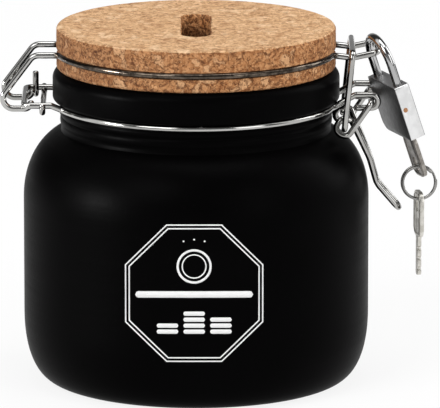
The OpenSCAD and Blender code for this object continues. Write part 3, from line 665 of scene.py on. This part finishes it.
def notched(rod, notch):  # points at the walls of a notch, and the rod's direction there
    at, half, far, step = notch["at"], notch["tall"] / 2, 4 * notch["tall"], sweep["wallStep"]
    near = min(range(len(rod)), key=lambda i: (rod[i][0] - at).length)
    way = (rod[near + 1][0] - rod[near][0]).normalized()
    before, after = [], []
    for spot, girth in rod:
        off = spot - at
        if off.length < far and off.dot(way) < -half - step:
            before.append((spot, girth))
        elif off.length >= far or off.dot(way) > half + step:
            after.append((spot, girth))
    walls = [(at + way * k, 1.0) for k in (-half - step, -half, half, half + step)]
    return before + walls + after, way


def cutNotch(shape, notch, way):  # flattens one side of the rod between the notch's walls
    at, tall, stay, inward = notch["at"], notch["tall"], notch["stay"], notch["inward"]
    for spot in shape.verts:
        off = spot.co / mm - at
        between = abs(off.dot(way)) < (tall + sweep["wallStep"]) / 2 and off.length < 2 * tall
        if between and off.dot(inward) > stay:
            spot.co -= inward * (off.dot(inward) - stay) * mm


def sweptWire(name, path, thick, metal, body, nodes=(), notch=None, sides=None):
    rod = tipped([Vector(p) for p in path], thick / 2)
    if notch:
        rod, way = notched(rod, notch)
    mesh = bpy.data.meshes.new(name + ".path")
    mesh.from_pydata([p * mm for p, girth in rod], [(i, i + 1) for i in range(len(rod) - 1)], [])
    mesh.attributes.new("girth", "FLOAT", "POINT").data.foreach_set("value", [girth for p, girth in rod])
    holder = link(name + ".path", mesh)
    modifier = holder.modifiers.new("sweep", "NODES")
    modifier.node_group = wireTree
    for key, value in (("Thickness", thick * mm), ("Sides", sides or sweep["sides"]), ("Metal", metal)):
        modifier[wireInputs[key]] = value
    baked = bakedMesh(holder, name)
    shape = bmesh.new()
    shape.from_mesh(baked)
    if notch:
        cutNotch(shape, notch, way)
    bmesh.ops.recalc_face_normals(shape, faces=shape.faces)
    shape.to_mesh(baked)
    shape.free()
    if notch:
        baked.set_sharp_from_angle(angle=radians(sweep["wallSharp"]))
    piece = link(name, baked)
    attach(piece, body)
    if nodes:
        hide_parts(*nodes)


closureWire = 1.8
neck = {"ring": 40.2, "z": 81.3, "eyeHalf": 8.5, "eyeX": 52.4, "eyeLow": 81.1, "eyeHigh": 84.9,
        "eyeBend": 1.9, "armX": 45.9, "earHalf": 13.6, "earFootX": -41.7, "earX": -49.5, "earZ": 82.8,
        "bend": 2}


def neckRing():
    n, ring, z, bend, eyeBend = neck, neck["ring"], neck["z"], neck["bend"], neck["eyeBend"]
    eyeY, earY = -n["eyeHalf"], -n["earHalf"]
    front = [((n["armX"], eyeY, n["eyeLow"]), 0), ((n["eyeX"], eyeY, n["eyeLow"]), eyeBend),
             ((n["eyeX"], eyeY, n["eyeHigh"]), eyeBend), ((n["armX"], eyeY, n["eyeHigh"]), bend),
             ((leaveX(ring, n["eyeHalf"]), eyeY, z), bend)]
    front += frontArc(ring, -leaveAngle(ring, n["eyeHalf"]), -pi + leaveAngle(ring, n["earHalf"]), z)
    front += [((-leaveX(ring, n["earHalf"]), earY, z), bend), ((n["earFootX"], earY, n["earZ"]), bend),
              ((n["earX"], earY, n["earZ"]), bend)]
    return bentPath(mirrored(front))


lidWire = {"ring": 40.15, "z": 96.5, "legHalf": 8.4, "curlX": -47.6, "curlHigh": 83.25, "curlLow": 80.9,
           "curlBend": 1.9, "footX": -58.65, "legX": -46.85, "noseHalf": 8.5, "noseX": 52.4, "noseZ": 97.4,
           "dipX": 45, "dipZ": 95.8, "bend": 2, "wideBend": 3}


def lidRing():
    w, ring, z, bend, wide = lidWire, lidWire["ring"], lidWire["z"], lidWire["bend"], lidWire["wideBend"]
    legY, noseY = -w["legHalf"], -w["noseHalf"]
    front = [((w["curlX"], legY, w["curlHigh"]), 0), ((w["curlX"], legY, w["curlLow"]), w["curlBend"]),
             ((w["footX"], legY, w["curlLow"]), wide), ((w["legX"], legY, z), wide),
             ((-leaveX(ring, w["legHalf"]), legY, z), bend)]
    front += frontArc(ring, -pi + leaveAngle(ring, w["legHalf"]), -leaveAngle(ring, w["noseHalf"]), z)
    front += [((leaveX(ring, w["noseHalf"]), noseY, z), bend), ((w["dipX"], noseY, w["dipZ"]), wide),
              ((w["noseX"], noseY, w["noseZ"]), bend)]
    return bentPath(mirrored(front))


lever = {"pivot": (50.5, 83.0), "pivotHalf": 6.7, "armHalf": 10.7, "armBend": 1.0, "eye": (42.7, 75.5),
         "eyeRadius": 2.2, "eyeBend": 2.1, "eyeStep": 1.9 / 3, "leaveOut": 0.9, "leaveHalf": 8.8,
         "handle": [((50.2, -2.55, 65.1), 6), ((52.3, -2.25, 57.6), 6), ((58.7, -2.25, 50.1), 2.15)]}


def leverPath():
    (px, pz), (ex, ez), reach, half = lever["pivot"], lever["eye"], lever["eyeRadius"], lever["armHalf"]
    heading = atan2(ez - pz, ex - px) + asin(reach / hypot(ex - px, ez - pz))
    front = [((px, -lever["pivotHalf"], pz), 0), ((px, -half, pz), lever["armBend"])]
    corner = reach * sqrt(2)
    for i in range(3):
        a = heading + pi / 4 - pi / 2 * i
        spot = (ex + corner * cos(a), -half + lever["eyeStep"] * i, ez + corner * sin(a))
        front.append((spot, lever["eyeBend"]))
    a = heading - pi
    spot = (ex + reach * cos(a) + lever["leaveOut"], -lever["leaveHalf"], ez + reach * sin(a))
    front.append((spot, lever["armBend"]))
    return bentPath(mirrored(front + lever["handle"]))


fittings = {"clampLink": [((42.7, -11.9, 75.5), 0), ((42.7, -12.9, 75.5), 0.98), ((45, -12.9, 97.9), 2)],
            "tieClip": [((-44.2, -15.5, 82.8), 0), ((-44.2, -15.5, 80.9), 1.88)],
            "stopHook": [((-46.6, 11.7, 88), 0), ((-46.6, 11.7, 80.9), 1.88), ((-46.6, 15.5, 80.9), 1.88),
                         ((-46.6, 15.5, 83.7), 0)]}  # corners and bends; the first two are mirrored
for name, path, body, node in (
        ("neckWire", neckRing(), "jar", "neck_ring"),
        ("lidWireRing", lidRing(), "lid", "lid_wire"),
        ("clampLink", bentPath(mirrored(fittings["clampLink"])), "link", "clamp_link"),
        ("clampLever", leverPath(), "lever", "clamp_lever"),
        ("tieClip", bentPath(mirrored(fittings["tieClip"])), "jar", "tie_clip"),
        ("stopHook", bentPath(fittings["stopHook"]), "jar", "stop_hook")):
    sweptWire(name, path, closureWire, wireSteel, body, [node])
print("wires swept")


# padlock: heights are down from the hanging point
padlock = {"wire": 2.5, "wireSides": 32, "half": 7.5, "archZ": -3.8, "archSteps": 28, "toe": -13.8,
           "heel": -20.6, "notch": -12.3, "notchTall": 2.2, "notchStay": 0.25, "bevel": 0.32}


def inPadlock(x, y, z):
    return Vector(hang["spot"]) + hangFrame @ Vector((x, y, z))


def shacklePath():
    half, archZ, steps = padlock["half"], padlock["archZ"], padlock["archSteps"]
    arch = [(0, -half * cos(a), archZ + half * sin(a)) for a in (pi * i / steps for i in range(steps + 1))]
    return [inPadlock(*p) for p in [(0, -half, padlock["toe"]), *arch, (0, half, padlock["heel"])]]


latchNotch = {"at": inPadlock(0, -padlock["half"], padlock["notch"]), "tall": padlock["notchTall"],
              "stay": padlock["notchStay"], "inward": hangFrame @ Vector((0, 1, 0))}
sweptWire("padlockShackle", shacklePath(), padlock["wire"], shackleChrome, "bail", ["shackle"],
          notch=latchNotch, sides=padlock["wireSides"])
softening = {"merge": 3e-6, "flat": radians(1.5), "segments": 3, "sharp": radians(30)}


def softened(node, name, width, material):  # a merged copy of a solid, with its edges eased
    shape = bmesh.new()
    shape.from_mesh(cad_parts[node].data)
    bmesh.ops.remove_doubles(shape, verts=shape.verts, dist=softening["merge"])
    bmesh.ops.dissolve_limit(shape, angle_limit=softening["flat"], verts=shape.verts, edges=shape.edges)
    mesh = bpy.data.meshes.new(name + ".plain")
    shape.to_mesh(mesh)
    shape.free()
    holder = link(name + ".plain", mesh, [material])
    ease = holder.modifiers.new("ease", "BEVEL")
    ease.width = width * mm
    ease.segments = softening["segments"]
    ease.limit_method = "ANGLE"
    ease.angle_limit = softening["sharp"]
    baked = bakedMesh(holder, name)
    for face in baked.polygons:
        face.use_smooth = True
    baked.set_sharp_from_angle(angle=softening["sharp"])
    return link(name, baked)


padlockCase = softened("padlock_case", "padlockCase", padlock["bevel"], caseSteel)
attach(padlockCase, "case")
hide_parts("padlock_case")


pin = {"centre": (-1.0, -10.4, -16.8), "radius": 0.7, "dome": 0.26, "long": 3.0, "sides": 28}


def pinHead():
    (x, y, z), r, sides = pin["centre"], pin["radius"], pin["sides"]
    rows = [(r, -pin["long"])] + [(r * cos(a), pin["dome"] * sin(a)) for a in quarter(6)]
    points = [inPadlock(x + wide * c, y - out, z + wide * s) for wide, out in rows for c, s in circle(sides)]
    faces = loopFaces(len(rows), sides) + [tuple(range(sides))]
    return closedMesh("casePin", points, faces, [pinCopper])


casePin = pinHead()
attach(casePin, "case")
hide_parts("core_pin")
for node, material in (("heel_spring", springSteel), ("latch_spring", springSteel), ("latch", springSteel),
                       ("lock_core", coreBrass), ("core_wafers", coreBrass)):
    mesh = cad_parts[node].data
    mesh.materials.clear()
    mesh.materials.append(material)
print("padlock made")


# keys on a split ring
keys = {"bevel": 0.22, "bowWide": 8.6, "bowLong": 13.4, "bowRound": 2.8, "thick": 1.2, "coreY": -2.4,
        "bowTop": -26.3, "spareYaw": radians(11), "bead": 0.5, "beadIn": 0.75, "beadSunk": 0.06,
        "beadGap": 0.01, "beadSides": 10}
splitRing = {"centre": (64.524, -2.329, 57.766), "radius": 4.65, "strand": 0.74, "sides": 12, "apart": 0.33,
             "nested": 0.16, "start": 40, "turn": 690, "crossing": 70, "steps": 150}  # angles in degrees
for node, name, body, plating in (("lock_key", "lockKey", "key", keyDark),
                                  ("spare_key", "spareKey", "spare", keyPlate)):
    piece = softened(node, name, keys["bevel"], plating)
    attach(piece, body)
    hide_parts(node)
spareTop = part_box("spare_key")[1][2] / mm


def beadLoop():  # the raised line round a bow, across and down from the bow's top
    inset = keys["beadIn"]
    half, low, r = keys["bowWide"] / 2 - inset, inset - keys["bowLong"], keys["bowRound"] - inset
    loop = [(0, -inset)]
    for cy, cz, start in ((half - r, -inset - r, 90), (half - r, low + r, 0), (r - half, low + r, -90),
                          (r - half, -inset - r, -180)):
        loop += [(cy + r * cos(a), cz + r * sin(a)) for a in (radians(start - 90 * i / 8) for i in range(9))]
    return loop + [(-keys["beadGap"], -inset)]


def onLockKey(x, y, z):
    return inPadlock(x, keys["coreY"] + y, keys["bowTop"] + z)


def onSpareKey(x, y, z):  # the spare key hangs turned about the upright
    (cx, cy, cz), turn = splitRing["centre"], keys["spareYaw"]
    return Vector((cx + x * cos(turn) - y * sin(turn), cy + x * sin(turn) + y * cos(turn), spareTop + z))


for mark, side in (("A", -1), ("B", 1)):
    out = side * (keys["thick"] / 2 - keys["beadSunk"])
    for name, place, plating, body in (("lockKeyBead", onLockKey, keyDark, "key"),
                                       ("spareKeyBead", onSpareKey, keyPlate, "spare")):
        path = [place(out, y, z) for y, z in beadLoop()]
        sweptWire(name + mark, path, keys["bead"], plating, body, sides=keys["beadSides"])


def ringPath():  # nearly two turns side by side, which cross over once
    path, steps, turn, apart = [], splitRing["steps"], splitRing["turn"], splitRing["apart"]
    cx, cy, cz = splitRing["centre"]
    for i in range(steps + 1):
        share = i / steps
        a = radians(splitRing["start"] + turn * share)
        step = min(max((share - 0.5) * turn / splitRing["crossing"] + 0.5, 0), 1)
        y = apart * (2 * (3 * step ** 2 - 2 * step ** 3) - 1)
        r = splitRing["radius"] + splitRing["nested"] * (1 + y / apart)
        path.append(Vector((cx + r * cos(a), cy + y, cz + r * sin(a))))
    return path


sweptWire("splitRing", ringPath(), splitRing["strand"], ringSteel, "ring", ["key_ring"],
          sides=splitRing["sides"])
print("keys and ring made")


# print on the jar's front: thin ink laid on the curve
badge = {"x": -0.6, "low": 15.7, "high": 55.8, "half": 19.7, "flat": 7.9, "sideLow": 27.5, "sideHigh": 44.3,
         "steps": 12, "line": 0.38, "gap": 0.66, "lift": 0.03, "thick": 0.05, "barHalf": 16.8, "barLow": 34.5,
         "barHigh": 36.4, "barSteps": 72}
coin = {"z": 43.6, "rings": ((5.0, 4.35), (3.55, 3.2)), "sides": 56,
        "falls": ((-3.0, 50.9), (0, 51.4), (3.0, 50.9)), "fallHalf": 0.28, "fallTall": 0.5, "fallSteps": 8,
        "stackZ": 24.6, "stackRise": 1.75, "stackHalf": 3.1, "stackTall": 1.25, "stackSteps": 32,
        "stacks": ((-7.6, 2), (0, 4), (7.6, 3))}  # place across, and how many coins


def onJar(x, z, lift):  # level lines stay level from the front's height of view
    z -= (jar["radius"] - sqrt(jar["radius"] ** 2 - x * x)) * tan(radians(view["elevation"]))
    r, near = jarRadius(z), 0.05
    y = -sqrt(max(r * r - x * x, 0))
    slope = (jarRadius(z + near) - jarRadius(z - near)) / (2 * near)
    out = Vector((x / r, y / r, -slope)).normalized()
    return Vector((x, y, z)) + out * lift


def ringRows(outline, inset):  # a closed line between an outline and its inset
    rows = list(zip(outline, inset))
    return rows + rows[:1]


def octagon(shrink):  # an eight-sided outline moved in by a distance, with points along each side
    h, f, mid = badge["half"], badge["flat"], (badge["low"] + badge["high"]) / 2
    top, side = (badge["high"] - badge["low"]) / 2, (badge["sideHigh"] - badge["sideLow"]) / 2
    corners = [(h, -side), (h, side), (f, top), (-f, top), (-h, side), (-h, -side), (-f, -top), (f, -top)]
    lines = []
    for (ax, az), (bx, bz) in zip(corners, corners[1:] + corners[:1]):
        length = hypot(bx - ax, bz - az)
        nx, nz = (bz - az) / length, -(bx - ax) / length
        lines.append((nx, nz, nx * ax + nz * az - shrink))
    moved = []
    for (ax, az, a), (bx, bz, b) in zip(lines[-1:] + lines[:-1], lines):
        det = ax * bz - az * bx
        moved.append(((a * bz - az * b) / det, (ax * b - a * bx) / det))
    dense, steps = [], badge["steps"]
    for (ax, az), (bx, bz) in zip(moved, moved[1:] + moved[:1]):
        dense += [(ax + (bx - ax) * k / steps, mid + az + (bz - az) * k / steps) for k in range(steps)]
    return dense


def coinLoop(r):
    return [(r * c, coin["z"] + r * s) for c, s in circle(coin["sides"])]


def pillRows(cx, cz, half, tall, count):  # a bar with round ends
    r, rows = tall / 2, []
    for i in range(count + 1):
        x = -half + 2 * half * i / count
        over = max(abs(x) - (half - r), 0)
        h = sqrt(max(r * r - over * over, 0)) if over else r
        rows.append([(cx + x, cz - h), (cx + x, cz), (cx + x, cz + h)])
    return rows


def printBadge():
    points, faces = [], []

    def lay(rows):  # a grid of front points (x, z)
        start = len(points)
        points.extend(onJar(x + badge["x"], z, badge["lift"]) for row in rows for x, z in row)
        faces.extend(tuple(i + start for i in quad) for quad in loopFaces(len(rows), len(rows[0]), False))

    for inset in (0, badge["gap"] + badge["line"]):
        lay(ringRows(octagon(inset), octagon(inset + badge["line"])))
    middle, tall = (badge["barLow"] + badge["barHigh"]) / 2, badge["barHigh"] - badge["barLow"]
    lay(pillRows(0, middle, badge["barHalf"], tall, badge["barSteps"]))
    for outer, inner in coin["rings"]:  # coin above the slot
        lay(ringRows(coinLoop(outer), coinLoop(inner)))
    for x, z in coin["falls"]:  # marks of its fall
        lay(pillRows(x, z, coin["fallHalf"], coin["fallTall"], coin["fallSteps"]))
    for x, count in coin["stacks"]:  # stacks of coins under the slot
        for i in range(count):
            z = coin["stackZ"] + coin["stackRise"] * i
            lay(pillRows(x, z, coin["stackHalf"], coin["stackTall"], coin["stackSteps"]))
    piece = closedMesh("frontPrint", points, faces, [ink])
    shape = bmesh.new()
    shape.from_mesh(piece.data)
    inward = [face for face in shape.faces if face.normal.dot(Vector((*face.calc_center_median().xy, 0))) < 0]
    bmesh.ops.reverse_faces(shape, faces=inward)
    bmesh.ops.solidify(shape, geom=shape.faces[:], thickness=badge["thick"] * mm)
    bmesh.ops.recalc_face_normals(shape, faces=shape.faces)
    shape.to_mesh(piece.data)
    shape.free()
    return piece


frontPrint = printBadge()
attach(frontPrint, "jar")
print("print laid on the jar")


# studio: white floor, soft lamps, a white surround for camera and reflections
studio = {"floor": 3.2, "floorSides": 64, "floorZ": -0.0002, "paper": 0.92, "ambient": 0.50, "glow": 0.86,
          "aim": (0, 0, 0.05),
          "flags": [(0.00, 0.30), (0.14, 0.05), (0.35, 0.04), (0.43, 1.0), (0.57, 1.0), (0.64, 0.04),
                    (0.88, 0.04), (0.95, 0.3)]}  # cards for reflections, from the camera's side to the back
lamps = (("keyLamp", (-1.1, -1.5, 1.5), (1.1, 1.1), 17, True),  # place, size, watts, whether it lights all
         ("fillLamp", (1.3, -1.3, 0.7), (0.8, 1.2), 7, True),
         ("rimLamp", (1.5, 0.7, 0.8), (0.5, 1.2), 9, True),
         ("topLamp", (0.1, -0.1, 1.7), (1.0, 1.0), 8, True),
         ("sideLamp", (-1.6, -0.6, 0.35), (0.4, 0.3), 30, False))  # or only gives a sheen


def whiteTo(g):  # 1 for rays that look at the background
    path = g.node("ShaderNodeLightPath", out="Is Camera Ray")
    return path.most(path.named("Is Glossy Ray")).most(path.named("Is Transmission Ray"))


def makeSurround():
    world = bpy.data.worlds.new("surround")
    scene.world = world
    world.use_nodes = True
    g = Graph(world.node_tree)
    soft = g.node("ShaderNodeBackground", None, {"Color": (1, 1, 1, 1), "Strength": studio["ambient"]})
    way = g.node("ShaderNodeSeparateXYZ", None, {0: g.node("ShaderNodeTexCoord", out="Generated")}, "Y")
    stops = [(share, (tone, tone, tone)) for share, tone in studio["flags"]]
    flags = g.node("ShaderNodeValToRGB", {"stops": stops}, {"Fac": way * 0.5 + 0.5})
    seen = g.blend(g.node("ShaderNodeLightPath", out="Is Glossy Ray"), (1, 1, 1), flags)
    white = g.node("ShaderNodeBackground", None, {"Color": seen, "Strength": 1.0})
    both = g.node("ShaderNodeMixShader", None, {0: whiteTo(g), 1: soft, 2: white})
    g.node("ShaderNodeOutputWorld", None, {"Surface": both})


def makeFloor():
    material, g = newFinish("paleFloor")
    tone = studio["paper"]
    paper = g.node("ShaderNodeBsdfDiffuse", None, {"Color": (tone, tone, tone, 1), "Roughness": 0.5})
    glow = g.node("ShaderNodeEmission", None, {"Color": (1, 1, 1, 1), "Strength": 1.0})
    both = g.node("ShaderNodeMixShader", None, {0: whiteTo(g) * studio["glow"], 1: paper, 2: glow})
    g.node("ShaderNodeOutputMaterial", None, {"Surface": both})
    sides, r = studio["floorSides"], studio["floor"]
    mesh = bpy.data.meshes.new("studioFloor")
    mesh.from_pydata([(r * c, r * s, studio["floorZ"]) for c, s in circle(sides)], [], [tuple(range(sides))])
    return link("studioFloor", mesh, [material])


def makeLamp(name, spot, size, power, lightsAll):
    lamp = bpy.data.lights.new(name, "AREA")
    lamp.shape = "RECTANGLE"
    lamp.size, lamp.size_y = size
    lamp.energy = power
    holder = bpy.data.objects.new(name, lamp)
    scene.collection.objects.link(holder)
    holder.location = spot
    holder.visible_diffuse = lightsAll
    holder.rotation_euler = (Vector(studio["aim"]) - Vector(spot)).to_track_quat("-Z", "Y").to_euler()


makeSurround()
makeFloor()
for lamp in lamps:
    makeLamp(*lamp)
print("studio set")
